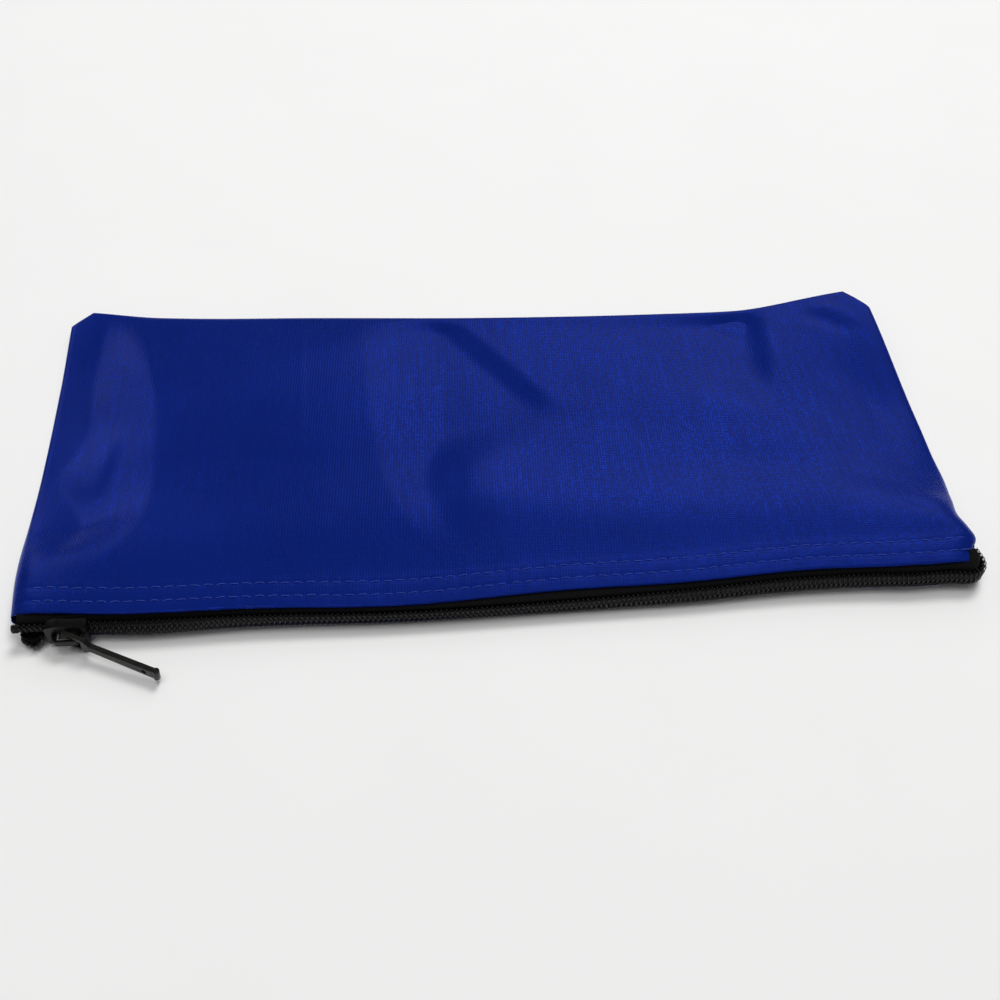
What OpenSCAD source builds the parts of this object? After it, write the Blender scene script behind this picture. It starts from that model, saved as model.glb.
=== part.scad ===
// Cash deposit bag: a flat cloth pouch with a coil zipper along one long edge.
// X runs along the zipper, Y from the mouth to the bottom seam, Z up.
// The origin is the centre of the underside that the bag rests on.

/* [Bag] */
// Width of the bag along the zipper
bag_w = 280; // [240:5:320]
// Depth from the middle of the mouth to the bottom seam, as laid flat
bag_d = 127; // [110:1:150]
// Height of the hollow body behind the hem
body_h = 7.4; // [6.8:0.1:8.6]
// Thickness of one layer of cloth
cloth_t = 0.5; // [0.4:0.05:0.5]
// Length cut off each bottom corner by its turned seam
corner_cut = 9; // [6:0.5:12]
// Depth of the hem that holds the zipper tape
hem_d = 10; // [9:0.5:12]

/* [Zipper] */
// Height of the zipper's centre line above the table
zip_z = 5.6; // [5.4:0.1:6.4]
// Radius of one wound coil
coil_r = 1.02; // [0.95:0.01:1.02]
// Radius of the cord inside each coil
core_r = 0.42; // [0.3:0.01:0.45]
// Thickness of the woven tape
tape_t = 0.4; // [0.3:0.05:0.4]
// Radius of the turn that the closed zipper makes at its right end
end_turn_r = 3; // [2.6:0.1:3.4]

/* [Slider] */
// Length of the slider along the zipper
slider_l = 11.5; // [10:0.25:12]
// Place of the slider's centre when the zipper is closed
slider_x = -123.8; // [-126:0.1:-118]
// Half the slider's width at its tail
tail_half = 3.65; // [3.6:0.05:3.9]
// Half the slider's width at its shoulder
shoulder_half = 4.3; // [4.1:0.05:4.5]

/* [Pull] */
// Length of the pull from its cross bar to its tip
pull_l = 28.5; // [20:0.5:30]
// Width of the pull behind its eye
pull_neck_w = 2.3; // [2:0.1:3]
// Width of the pull at its tip
pull_tip_w = 3.4; // [3.2:0.1:4]
// Thickness of the pull
pull_t = 1.5; // [1.2:0.1:1.6]
// Radius of the tie hole near the tip
tie_hole_r = 0.75; // [0.6:0.05:0.8]
// Angle of the pull away from the zipper at rest
pull_swing = 26; // [5:1:60]
// Angle by which the tip droops towards the table
pull_droop = 4; // [0:0.5:4]

/* [Stitching] */
// Radius of the sewing thread
thread_r = 0.15; // [0.1:0.01:0.16]
// Distance of the front stitch row from the hem's edge
front_row = 3.4; // [2:0.1:5]
// Distance of the rear stitch row from the hem's edge
rear_row = 9; // [6:0.1:9]

/* [Hidden] */
$fn = 32;
fit_gap = 0.3;
touch_gap = 0.05;
close_gap = 0.01;

// Places along Y
bottom_y = bag_d / 2;
hem_setback = 4;
hem_y = hem_setback - bag_d / 2;
hem_end_y = hem_y + hem_d;
turn_y = hem_y - fit_gap;
tape_front_y = turn_y - end_turn_r;
tape_back_y = tape_front_y + tape_t;
coil_y = tape_front_y - touch_gap - coil_r;
coil_front_y = coil_y - coil_r;

// Heights, all from the zipper's centre line outwards
tape_rise = 3.6;
tape_leg_z = zip_z + tape_rise;
hem_t = 2 * cloth_t + touch_gap;
hem_low_z = tape_leg_z + tape_t + touch_gap;
mouth_h = hem_low_z + hem_t;

// Zipper
coil_rise = 1.62;
coil_flat = 0.1;
web_start = 0.5;
left_inset = 3;
left_end_x = left_inset - bag_w / 2;
turn_inset = 6.5;
turn_x = bag_w / 2 - turn_inset;
tape_inset = 11;
tape_half_w = bag_w / 2 - tape_inset;
tape_end_gap = 0.5;
tape_inner_y = hem_end_y - tape_end_gap;
coil_thread_r = 0.12;
coil_thread_rise = 0.5;

// Slider
plate_t = 0.8;
flange_t = 0.75;
front_plate_gap = 0.35;
back_plate_gap = 0.25;
front_plate_y = coil_front_y - front_plate_gap;
back_plate_y = tape_back_y + back_plate_gap;
back_plate_half = 3.35;
plate_round = 1.2;
shoulder_x = -2.6;
shoulder_slant = 0.4;
tail_x = 1.5;
post_half = 0.3;
post_l = 3;
spring_slot_x = -2.75;
spring_slot_l = 0.8;
crown_half_w = 1.1;
crown_gap = 2;
crown_t = 0.8;
crown_foot = 4.2;
spring_t = 0.25;
spring_half_w = 0.8;
bar_r = 0.6;
bar_y = front_plate_y - plate_t - fit_gap - bar_r;

// Pull
eye_half_w = 2.75;
eye_hole_half_w = 1.75;
eye_l = 4.8;
eye_shoulder_l = 0.9;
neck_x = eye_l + 2.6;
lip_r = 0.95;
lip_overhang = 0.2;
tie_hole_inset = 4.4;

// Panel grid
columns = 16;
body_rows = 14;
ramp_d = 2.5;
side_roll = 34;
hem_roll = 9;
roll_change_d = 40;
front_fall_d = 28;
crown_fall_y = 10;
lower_ramp_d = 8;
lower_lift = below(mouth_h);

cloth_colour = [0.10, 0.14, 0.60];
seam_colour = [0.15, 0.20, 0.70];
tape_colour = [0.06, 0.06, 0.07];
coil_colour = [0.10, 0.10, 0.12];
metal_colour = [0.20, 0.20, 0.22];

// A height above the zipper's centre line becomes the same height below it.
function below(z) = 2 * zip_z - z;
function clamp01(t) = max(0, min(1, t));
function mix(a, b, t) = a + (b - a) * t;

module below_centre_line() {
    translate([0, 0, 2 * zip_z]) mirror([0, 0, 1]) children();
}

// Draws a section that runs straight along the zipper from start_x, then turns
// a quarter round at the right end. The section's x is the distance in front
// of the turn's axis, and its y is the height.
module along_zipper(start_x) {
    translate([turn_x, turn_y, 0]) {
        rotate([90, 0, -90]) linear_extrude(turn_x - start_x) children();
        rotate([0, 0, -90]) rotate_extrude(angle = 90, $fn = 48) children();
    }
}

// Panels

function half_width(y) = bag_w / 2 - max(0, y - (bottom_y - corner_cut));
function panel_t(y) = y <= hem_end_y ? hem_t : cloth_t;
function lower_ramp(y) = clamp01((y - hem_end_y) / lower_ramp_d);
function lower_top(y) = mix(lower_lift, 0, lower_ramp(y)) + panel_t(y);
function edge_h(y) = lower_top(y) + fit_gap + panel_t(y);

// Height of the upper panel's outside along the middle of the bag
function front_fall(y) = (1 - cos(180 * clamp01((y - hem_end_y) / front_fall_d))) / 2;
function rear_fall(y) = clamp01((y - crown_fall_y) / (bottom_y - crown_fall_y));
function middle_h(y) = y <= crown_fall_y
    ? mix(mouth_h, body_h, front_fall(y))
    : mix(edge_h(y), body_h, sqrt(1 - pow(rear_fall(y), 3)));

// The panel rolls down to the seam near each side, more tightly at the hem.
function roll_w(y) = mix(hem_roll, side_roll, clamp01((y - hem_end_y) / roll_change_d));
function roll_at(x, y) = clamp01((abs(x) - half_width(y) + roll_w(y)) / roll_w(y));
function upper_out(x, y) = mix(edge_h(y), middle_h(y), sqrt(1 - pow(roll_at(x, y), 2)));

row_y = concat(
    [hem_y, (hem_y + hem_end_y) / 2, hem_end_y],
    [for (k = [0 : body_rows]) mix(hem_end_y + ramp_d, bottom_y, k / body_rows)]
);
rows = len(row_y);
across = 2 * columns + 1;

function column_x(k, y) = half_width(y) * sin(90 * k / columns);
outside = [for (y = row_y) for (k = [-columns : columns])
    [column_x(k, y), y, upper_out(column_x(k, y), y)]];
inside = [for (p = outside) [p.x, p.y, p.z - panel_t(p.y)]];

// Index of a point of the grid, on the outside layer or the inside one
function at(r, c, layer) = layer * rows * across + r * across + c;

outside_faces = [for (r = [0 : rows - 2]) for (c = [0 : across - 2])
    [at(r, c, 0), at(r + 1, c, 0), at(r + 1, c + 1, 0), at(r, c + 1, 0)]];
inside_faces = [for (r = [0 : rows - 2]) for (c = [0 : across - 2])
    [at(r, c, 1), at(r, c + 1, 1), at(r + 1, c + 1, 1), at(r + 1, c, 1)]];
mouth_faces = [for (c = [0 : across - 2])
    [at(0, c, 0), at(0, c + 1, 0), at(0, c + 1, 1), at(0, c, 1)]];
bottom_faces = [for (c = [0 : across - 2])
    [at(rows - 1, c + 1, 0), at(rows - 1, c, 0), at(rows - 1, c, 1), at(rows - 1, c + 1, 1)]];
left_faces = [for (r = [0 : rows - 2])
    [at(r + 1, 0, 0), at(r, 0, 0), at(r, 0, 1), at(r + 1, 0, 1)]];
right_faces = [for (r = [0 : rows - 2])
    [at(r, across - 1, 0), at(r + 1, across - 1, 0), at(r + 1, across - 1, 1), at(r, across - 1, 1)]];

function triangles(quads) = [for (q = quads) each [[q[0], q[1], q[2]], [q[0], q[2], q[3]]]];

module upper_panel() {
    color(cloth_colour)
        polyhedron(
            points = concat(outside, inside),
            faces = triangles(concat(outside_faces, inside_faces, mouth_faces,
                bottom_faces, left_faces, right_faces))
        );
}

module panel_outline() {
    far_half = bag_w / 2 - corner_cut;
    polygon([
        [-bag_w / 2, hem_y],
        [bag_w / 2, hem_y],
        [bag_w / 2, bottom_y - corner_cut],
        [far_half, bottom_y],
        [-far_half, bottom_y],
        [-bag_w / 2, bottom_y - corner_cut]
    ]);
}

module lower_profile() {
    ramp_end_y = hem_end_y + lower_ramp_d;
    polygon([
        [hem_y, lower_lift],
        [hem_end_y, lower_lift],
        [ramp_end_y, 0],
        [bottom_y, 0],
        [bottom_y, cloth_t],
        [ramp_end_y, cloth_t],
        [hem_end_y, lower_lift + cloth_t],
        [hem_end_y, lower_lift + hem_t],
        [hem_y, lower_lift + hem_t]
    ]);
}

module lower_panel() {
    color(cloth_colour)
        intersection() {
            translate([-bag_w / 2, 0, 0])
                rotate([90, 0, 90]) linear_extrude(bag_w) lower_profile();
            linear_extrude(mouth_h) panel_outline();
        }
}

// Zipper tapes, coils, cords and coil stitching, drawn for the upper side

module half_tape() {
    along_zipper(left_end_x)
        translate([end_turn_r - tape_t, zip_z + web_start])
            square([tape_t, tape_leg_z - zip_z - web_start + tape_t]);
    translate([-tape_half_w, tape_front_y, tape_leg_z])
        cube([2 * tape_half_w, tape_inner_y - tape_front_y, tape_t]);
}

module coil_outline() {
    for (side = [-1, 1])
        translate([0, side * coil_flat]) circle(coil_r);
    square([2 * coil_r, 2 * coil_flat], center = true);
}

module half_coil() {
    along_zipper(left_end_x)
        translate([turn_y - coil_y, zip_z + coil_rise])
            difference() {
                coil_outline();
                circle(core_r + 2 * close_gap);
            }
}

module half_core_cord() {
    along_zipper(left_end_x)
        translate([turn_y - coil_y, zip_z + coil_rise]) circle(core_r);
}

module half_coil_stitching() {
    along_zipper(left_end_x + 1)
        for (side = [-1, 1])
            translate([
                turn_y - coil_front_y + touch_gap,
                zip_z + coil_rise + side * coil_thread_rise
            ]) circle(coil_thread_r, $fn = 16);
}

// One stitch row: the needle thread outside the hem, the bobbin thread under the tape
module half_topstitch(row_d) {
    for (z = [mouth_h + thread_r + close_gap, tape_leg_z - thread_r - close_gap])
        translate([-tape_half_w, hem_y + row_d, z])
            rotate([0, 90, 0]) cylinder(h = 2 * tape_half_w, r = thread_r, $fn = 16);
}

module upper_tape() { color(tape_colour) half_tape(); }
module lower_tape() { color(tape_colour) below_centre_line() half_tape(); }
module upper_coil() { color(coil_colour) half_coil(); }
module lower_coil() { color(coil_colour) below_centre_line() half_coil(); }
module upper_core_cord() { color(coil_colour) half_core_cord(); }
module lower_core_cord() { color(coil_colour) below_centre_line() half_core_cord(); }
module upper_coil_stitching() { color(tape_colour) half_coil_stitching(); }
module lower_coil_stitching() { color(tape_colour) below_centre_line() half_coil_stitching(); }
module upper_front_topstitch() { color(seam_colour) half_topstitch(front_row); }
module upper_rear_topstitch() { color(seam_colour) half_topstitch(rear_row); }
module lower_front_topstitch() { color(seam_colour) below_centre_line() half_topstitch(front_row); }
module lower_rear_topstitch() { color(seam_colour) below_centre_line() half_topstitch(rear_row); }

// Seam threads, which lie inside between the two panels

seam_inset = 2.5;
seam_thread_r = 0.12;
seam_z = cloth_t + seam_thread_r + close_gap;

module side_seam_thread(side) {
    start_y = hem_end_y + lower_ramp_d;
    end_y = bottom_y - corner_cut - 1;
    translate([side * (bag_w / 2 - seam_inset), start_y, seam_z])
        rotate([-90, 0, 0]) cylinder(h = end_y - start_y, r = seam_thread_r, $fn = 16);
}

module left_side_seam() { color(seam_colour) side_seam_thread(-1); }
module right_side_seam() { color(seam_colour) side_seam_thread(1); }

module bottom_seam() {
    half_l = bag_w / 2 - corner_cut - 2;
    color(seam_colour)
        translate([-half_l, bottom_y - seam_inset, seam_z])
            rotate([0, 90, 0]) cylinder(h = 2 * half_l, r = seam_thread_r, $fn = 16);
}

// Slider. Its outlines are drawn with x along the zipper and y up.

module on_slider() {
    translate([slider_x, 0, zip_z]) children();
}

// Stands an outline up so that it faces the front, between two places on Y
module upright(from_y, to_y) {
    translate([0, to_y, 0]) rotate([90, 0, 0]) linear_extrude(to_y - from_y) children();
}

module plate_outline(shoulder, tail) {
    half_l = slider_l / 2 - plate_round;
    end_half = shoulder - plate_round - shoulder_slant;
    shoulder_y = shoulder - plate_round;
    tail_y = tail - plate_round;
    offset(r = plate_round)
        polygon([
            [half_l, tail_y], [tail_x, tail_y], [shoulder_x, shoulder_y], [-half_l, end_half],
            [-half_l, -end_half], [shoulder_x, -shoulder_y], [tail_x, -tail_y], [half_l, -tail_y]
        ]);
}

module channel_outline() {
    reach = slider_l;
    shoulder_y = shoulder_half - flange_t;
    tail_y = tail_half - flange_t;
    polygon([
        [reach, tail_y], [tail_x, tail_y], [shoulder_x, shoulder_y], [-reach, shoulder_y],
        [-reach, -shoulder_y], [shoulder_x, -shoulder_y], [tail_x, -tail_y], [reach, -tail_y]
    ]);
}

module slider_body() {
    front_y = front_plate_y - plate_t;
    flange_end_y = tape_front_y - back_plate_gap;
    post_x = fit_gap - slider_l / 2;
    post_widest_x = post_x + 1.4;
    slot_half_w = spring_half_w + 0.2;
    color(metal_colour)
        on_slider() {
            difference() {
                upright(front_y, flange_end_y) plate_outline(shoulder_half, tail_half);
                upright(front_plate_y, flange_end_y + 1) channel_outline();
                upright(front_y - 1, front_plate_y + 1)
                    translate([spring_slot_x, -slot_half_w]) square([spring_slot_l, 2 * slot_half_w]);
            }
            upright(back_plate_y, back_plate_y + plate_t)
                plate_outline(back_plate_half, back_plate_half);
            upright(front_plate_y - touch_gap, back_plate_y + touch_gap)
                polygon([[post_x, 0], [post_widest_x, post_half], [post_x + post_l, 0],
                    [post_widest_x, -post_half]]);
        }
}

// The crown is an arch over the front plate, and the pull's bar passes under it.
module crown_profile() {
    foot_y = front_plate_y - plate_t;
    inner_y = foot_y - crown_gap;
    outer_y = inner_y - crown_t;
    polygon([
        [-crown_foot, foot_y], [-3.7, inner_y], [-3, outer_y],
        [3, outer_y], [3.7, inner_y], [crown_foot, foot_y],
        [crown_foot - 0.9, foot_y], [2.9, inner_y + 0.5], [2.5, inner_y],
        [-2.5, inner_y], [-2.9, inner_y + 0.5], [0.9 - crown_foot, foot_y]
    ]);
}

module slider_crown() {
    color(metal_colour)
        on_slider()
            translate([0, 0, -crown_half_w]) linear_extrude(2 * crown_half_w) crown_profile();
}

// A leaf under the crown whose end passes through the plate and stops the coil.
module lock_spring() {
    leaf_y = front_plate_y - plate_t - crown_gap + 2 * close_gap;
    tooth_x = -2.4;
    tooth_end_y = front_plate_y - touch_gap;
    color("silver")
        on_slider()
            translate([0, 0, -spring_half_w])
                linear_extrude(2 * spring_half_w)
                    polygon([
                        [tooth_x, leaf_y], [2.3, leaf_y], [2.3, leaf_y + spring_t],
                        [tooth_x + spring_t, leaf_y + spring_t],
                        [tooth_x + spring_t, tooth_end_y], [tooth_x, tooth_end_y]
                    ]);
}

// Pull: its length runs along x from the bar, and its outline stands upright.

module pull_outline() {
    tip_x = pull_l - lip_r;
    shoulder_end_x = eye_l + eye_shoulder_l;
    polygon([
        [eye_l, -eye_half_w], [shoulder_end_x, -eye_half_w], [neck_x, -pull_neck_w / 2],
        [tip_x, -pull_tip_w / 2], [tip_x, pull_tip_w / 2],
        [neck_x, pull_neck_w / 2], [shoulder_end_x, eye_half_w], [eye_l, eye_half_w]
    ]);
}

module pull_tab() {
    color(metal_colour)
        translate([slider_x, bar_y, zip_z])
            rotate([0, 0, -pull_swing]) rotate([0, pull_droop, 0]) {
                difference() {
                    upright(-pull_t / 2, pull_t / 2) pull_outline();
                    translate([pull_l - tie_hole_inset, 0, 0])
                        rotate([90, 0, 0]) cylinder(h = 2 * pull_t, r = tie_hole_r, center = true);
                }
                for (side = [-1, 1])
                    upright(-bar_r, bar_r)
                        translate([eye_l / 2, side * (eye_half_w + eye_hole_half_w) / 2])
                            square([eye_l, eye_half_w - eye_hole_half_w], center = true);
                cylinder(h = 2 * eye_half_w, r = bar_r, center = true);
                translate([pull_l - lip_r, 0, 0])
                    cylinder(h = pull_tip_w + 2 * lip_overhang, r = lip_r, center = true);
            }
}

lower_panel();
upper_panel();
lower_tape();
upper_tape();
lower_coil();
upper_coil();
lower_core_cord();
upper_core_cord();
lower_coil_stitching();
upper_coil_stitching();
lower_front_topstitch();
lower_rear_topstitch();
upper_front_topstitch();
upper_rear_topstitch();
left_side_seam();
right_side_seam();
bottom_seam();
slider_body();
slider_crown();
lock_spring();
pull_tab();
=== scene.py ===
import math

import bmesh
import bpy
import numpy as np
from mathutils import Matrix, Vector


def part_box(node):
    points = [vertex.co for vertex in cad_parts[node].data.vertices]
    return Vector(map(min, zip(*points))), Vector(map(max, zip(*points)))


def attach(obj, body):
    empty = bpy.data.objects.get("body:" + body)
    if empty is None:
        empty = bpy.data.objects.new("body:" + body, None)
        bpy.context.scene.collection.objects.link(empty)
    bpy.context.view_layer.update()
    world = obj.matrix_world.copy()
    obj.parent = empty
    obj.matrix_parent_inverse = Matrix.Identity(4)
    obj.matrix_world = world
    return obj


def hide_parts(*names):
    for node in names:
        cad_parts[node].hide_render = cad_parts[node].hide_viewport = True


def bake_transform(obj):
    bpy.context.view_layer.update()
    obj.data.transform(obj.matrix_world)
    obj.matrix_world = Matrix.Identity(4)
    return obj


# Every length below is in millimetres, in the CAD's own frame. make_mesh() turns them into metres.
MM = 0.001
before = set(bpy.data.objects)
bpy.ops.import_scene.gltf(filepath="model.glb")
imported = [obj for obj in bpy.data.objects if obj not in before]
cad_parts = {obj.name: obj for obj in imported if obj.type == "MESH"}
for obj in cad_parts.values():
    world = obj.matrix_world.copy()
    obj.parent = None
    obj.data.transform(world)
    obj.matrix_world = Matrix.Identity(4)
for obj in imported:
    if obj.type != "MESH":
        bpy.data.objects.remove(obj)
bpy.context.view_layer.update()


def node_box(node):
    low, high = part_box(node)
    return np.array(low) / MM, np.array(high) / MM


# ---- Places read from the frame ----
PANEL_LOW, PANEL_HIGH = node_box("upper_panel")
HEM_Y = PANEL_LOW[1]
BOTTOM_Y = PANEL_HIGH[1]
HALF_W = PANEL_HIGH[0]
UPPER_COIL_LOW = node_box("upper_coil")[0]
LOWER_COIL_HIGH = node_box("lower_coil")[1]
COIL_DEPTH = 2.04
CHAIN_Y = UPPER_COIL_LOW[1] + COIL_DEPTH / 2
ZIP_Z = (UPPER_COIL_LOW[2] + LOWER_COIL_HIGH[2]) / 2

# ---- The cloth ----
CLOTH_T = 0.35  # one layer
HEM_T = 0.95  # the turned hem
HEM_D = 10.5  # its depth, from the front edge
RIM_H = 0.95  # the round rim along the seams
RIM_W = 1.7
SEAM_Z = 0.75  # the seams' height where the bag lies flat
MIDDLE_H = 4.3  # how far the level middle stands above the seams
RIGHT_REACH = 42  # distance over which it comes down to the right side seam
SIDE_LIFT = 1.9  # extra height beside the side seams, near the mouth
PLAN_D = 120  # the panel's depth that the spacing of its points is based on
POINT_GAP = 1.25
EDGE_STEPS = [0.12, 0.2, 0.3, 0.4, 0.5, 0.6, 0.8, 1.0]
FAR_LEFT_CUT = 0.948  # shares of the depth where the far corners' short slanted edges start
FAR_RIGHT_CUT = 0.93

# ---- The zipper: its chain runs straight, then turns at the right end ----
TAPE_T = 0.38
WIRE_R = 0.34  # the wire that the coils are wound from
PITCH = 1.45  # from one loop to the next
LOOP_OUT = 2.43  # the far and near ends of a loop's middle line, from the chain's middle
LOOP_IN = -0.2
LOOP_HALF_T = 0.7
COIL_TOP = LOOP_OUT + WIRE_R
TAPE_BACK = LOOP_HALF_T + WIRE_R + TAPE_T / 2
CORE_W = 0.98  # half the width and half the thickness of a core cord
CORE_T = 0.38
CORE_OFF = 1.12  # from the chain's middle to a core cord's
COIL_THREAD_R = 0.11
THREAD_OFFS = (1.05, 1.7)  # from the chain's middle to the two threads that hold a coil down
THREAD_DIP = 0.24
LEFT_END = -137.5
TURN_X = 135.0
TURN_R = 5.0
TURN_ANGLE = math.radians(105)
PAST_TURN = 3
TAPE_START_X = -139
TAPE_END_X = 138.3
TAPE_INSIDE = 8.5  # how far a tape runs on inside its hem, and where the chain has turned
TAPE_INSIDE_TURNED = 3.5
TAPE_TUCK = 3.0  # how far the turn pulls the tape's lip back
STRAIGHT = TURN_X - LEFT_END
CHAIN_L = STRAIGHT + TURN_R * TURN_ANGLE + PAST_TURN

# ---- The stitches ----
STITCH_PITCH = 3.6
STITCH_L = 2.9
THREAD_R = 0.15
STITCH_LIFT = THREAD_R * 0.75
FRONT_ROW = 3.4  # distances of the two rows from the hem's front edge
REAR_ROW = 7.9
SEAM_INSET = 2.5
SEAM_THREAD_R = 0.12

# ---- Colours of the dyed cloth, and the most that its thread crowns mirror ----
NYLON_DARK = (0.0027, 0.0112, 0.128)
NYLON_LIGHT = (0.0032, 0.0126, 0.142)
SHEEN = 0.72


# ---- Small numeric tools ----
def smooth(t):
    """Rises from 0 to 1 with level ends."""
    t = np.clip(t, 0, 1)
    return t * t * (3 - 2 * t)


def mix(a, b, t):
    """a where t is 0, and b where it is 1."""
    return a + (b - a) * t


def quarter_round(t):
    """Rises from 0 to 1 as a quarter circle."""
    return np.sqrt(1 - (1 - np.clip(t, 0, 1)) ** 2)


def curve(points, x):
    """A smooth curve through (x, value) points, level outside them."""
    px, py = np.array(points, float).T
    slope = np.gradient(py, px)
    x = np.clip(x, px[0], px[-1])
    k = np.clip(np.searchsorted(px, x, side="right") - 1, 0, len(px) - 2)
    h = px[k + 1] - px[k]
    t = (x - px[k]) / h
    rise = (2 * t**3 - 3 * t**2 + 1) * py[k] + (3 * t**2 - 2 * t**3) * py[k + 1]
    return rise + (t**3 - 2 * t**2 + t) * h * slope[k] + (t**3 - t**2) * h * slope[k + 1]


def across(x, y, a, b):
    """Distance to the left of the line from a to b, and the share of the way along it."""
    dx, dy = b[0] - a[0], b[1] - a[1]
    length = math.hypot(dx, dy)
    along = ((x - a[0]) * dx + (y - a[1]) * dy) / length
    side = ((y - a[1]) * dx - (x - a[0]) * dy) / length
    return side, along / length


def ends(along, fade):
    """1 between the ends of a line, and fading to 0 past them."""
    return smooth((along + fade) / (2 * fade)) * smooth((1 + fade - along) / (2 * fade))


def ridge(x, y, a, b, width, height, fade):
    """A round ridge along a-b, or a groove where the height is negative."""
    side, along = across(x, y, a, b)
    return height * np.exp(-((side / width) ** 2)) * ends(along, fade)


def step(x, y, a, b, width, height, reach, fade):
    """Cloth to the left of a-b stands higher, and the rise dies away over the reach."""
    side, along = across(x, y, a, b)
    rise = smooth(side / width + 0.5) * np.exp(-np.clip(side, 0, None) / reach)
    return height * rise * ends(along, fade)


# ---- Mesh makers ----
def make_mesh(name, points, faces, material, smooth_shaded=True):
    mesh = bpy.data.meshes.new(name)
    mesh.from_pydata((np.asarray(points, float) * MM).tolist(), [], [list(map(int, f)) for f in faces])
    shape = bmesh.new()
    shape.from_mesh(mesh)
    bmesh.ops.recalc_face_normals(shape, faces=shape.faces)
    shape.to_mesh(mesh)
    shape.free()
    mesh.polygons.foreach_set("use_smooth", [smooth_shaded] * len(mesh.polygons))
    mesh.materials.append(material)
    piece = bpy.data.objects.new(name, mesh)
    bpy.context.scene.collection.objects.link(piece)
    return piece


def loft_faces(stations, sides, first=0):
    """Quads round closed sections, and caps that pair each point with the one opposite."""
    s, k = np.meshgrid(np.arange(stations - 1), np.arange(sides), indexing="ij")
    here, next_k = s * sides + k, s * sides + (k + 1) % sides
    quads = np.stack([here, next_k, next_k + sides, here + sides], -1).reshape(-1, 4)
    caps = []
    for start in (0, (stations - 1) * sides):
        for i in range((sides - 1) // 2):
            pair = [start + i, start + i + 1, start + sides - 2 - i, start + sides - 1 - i]
            caps.append(list(dict.fromkeys(pair)))
    return [list(q + first) for q in quads] + [[v + first for v in c] for c in caps]


def loft(name, sections, material):
    """A piece with the given closed sections. Its end caps are flat, so they don't shade its sides."""
    sections = np.asarray(sections, float)
    stations, sides = sections.shape[:2]
    faces = loft_faces(stations, sides)
    piece = make_mesh(name, sections.reshape(-1, 3), faces, material)
    count = (stations - 1) * sides
    flat = [len(f.vertices) < 4 or f.index >= count for f in piece.data.polygons]
    piece.data.polygons.foreach_set("use_smooth", [not v for v in flat])
    ends_of = {frozenset(e) for f in piece.data.polygons if flat[f.index] for e in f.edge_keys}
    for edge in piece.data.edges:
        edge.use_edge_sharp = frozenset(edge.key) in ends_of
    return piece


def tube_rings(path, radius, sides):
    """Rings of points round a path, turned as little as possible from one to the next."""
    path = np.asarray(path, float)
    ahead = np.gradient(path, axis=0)
    ahead /= np.linalg.norm(ahead, axis=1)[:, None]
    up = np.cross(ahead[0], (0.0, 0.0, 1.0))
    if np.linalg.norm(up) < 0.1:
        up = np.cross(ahead[0], (0.0, 1.0, 0.0))
    radius = np.broadcast_to(radius, len(path))
    angle = 2 * np.pi * np.arange(sides) / sides
    rings = []
    for point, direction, r in zip(path, ahead, radius):
        up = up - direction * (up @ direction)
        up /= np.linalg.norm(up)
        other = np.cross(direction, up)
        rings.append(point + r * (np.cos(angle)[:, None] * up + np.sin(angle)[:, None] * other))
    return np.array(rings)


def tubes(name, paths, radius, sides, material):
    """Several separate tubes in one mesh, such as a row of stitches."""
    points, faces = [], []
    for path in paths:
        rings = tube_rings(path, radius, sides)
        faces += loft_faces(len(rings), sides, sum(map(len, points)))
        points.append(rings.reshape(-1, 3))
    return make_mesh(name, np.concatenate(points), faces, material)


# ---- The bag's outline and the two lips of its mouth ----
def hem_edge_y(x):
    """Front edge of the upper hem."""
    moved = [(-139, 0), (-115, -2.3), (-73, -2.6), (-32, -3.8), (17, -1.6), (49, -1.7),
             (88, -0.4), (114, -1.4), (130, -1.3), (138, -0.9)]
    return HEM_Y + curve(moved, x)


def hem_edge_z(x):
    """Top of the upper hem at its front edge, which sags between the slider and the end turn."""
    return curve([(-139, 9.4), (-124, 10), (-115, 9.9), (-73, 8.8), (-32, 7.8), (17, 7.6),
                  (49, 8.1), (88, 9.1), (114, 9.9), (130, 10), (138, 10.3)], x)


def low_edge_y(x):
    """Front edge of the lower hem, which lies on the table under the zipper."""
    return curve([(-139, -60), (-129, -61.8), (-120, -62.7), (-115, -62.7), (-73, -62.9), (-32, -64.1),
                  (17, -62.8), (49, -61.7), (88, -60.6), (114, -62.2), (129, -62.3), (139, -60)], x)


def far_edge_y(x):
    """Bottom seam, which pulls in between the two far corners."""
    return BOTTOM_Y + curve([(-131.5, 3.6), (-114, 1.6), (-95, 0), (-60, -1.6), (0, -4.8), (60, -6.3),
                             (92, -6.2), (110, -5), (130, -3.6)], x)


def left_edge_x(t):
    """Left side seam at shares t of the depth, with the corner cut off at its far end."""
    side = curve([(0, -139.8), (0.1, -140.6), (0.3, -140.2), (0.55, -139), (FAR_LEFT_CUT, -137.8)], t)
    return np.where(t < FAR_LEFT_CUT, side, mix(-137.8, -131, (t - FAR_LEFT_CUT) / (1 - FAR_LEFT_CUT)))


def right_edge_x(t):
    """Right side seam, which pulls in just behind the mouth, with its corner cut off too."""
    side = curve([(0, 136.7), (0.03, 137.6), (0.07, 140.6), (0.11, 140), (0.15, 138.7), (0.21, 139.7),
                  (0.3, 141.1), (0.4, 141.2), (0.6, 140.6), (FAR_RIGHT_CUT, 137.5)], t)
    return np.where(t < FAR_RIGHT_CUT, side, mix(137.5, 130, (t - FAR_RIGHT_CUT) / (1 - FAR_RIGHT_CUT)))


def corner_lift(x, y):
    """The far right corner stands clear of the table, and the far left one a little."""
    right = 5.2 * smooth((x - 90) / 46) * smooth((y - 4) / 56)
    return right + 1.3 * smooth((-108 - x) / 26) * smooth((y - 34) / 30)


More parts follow.
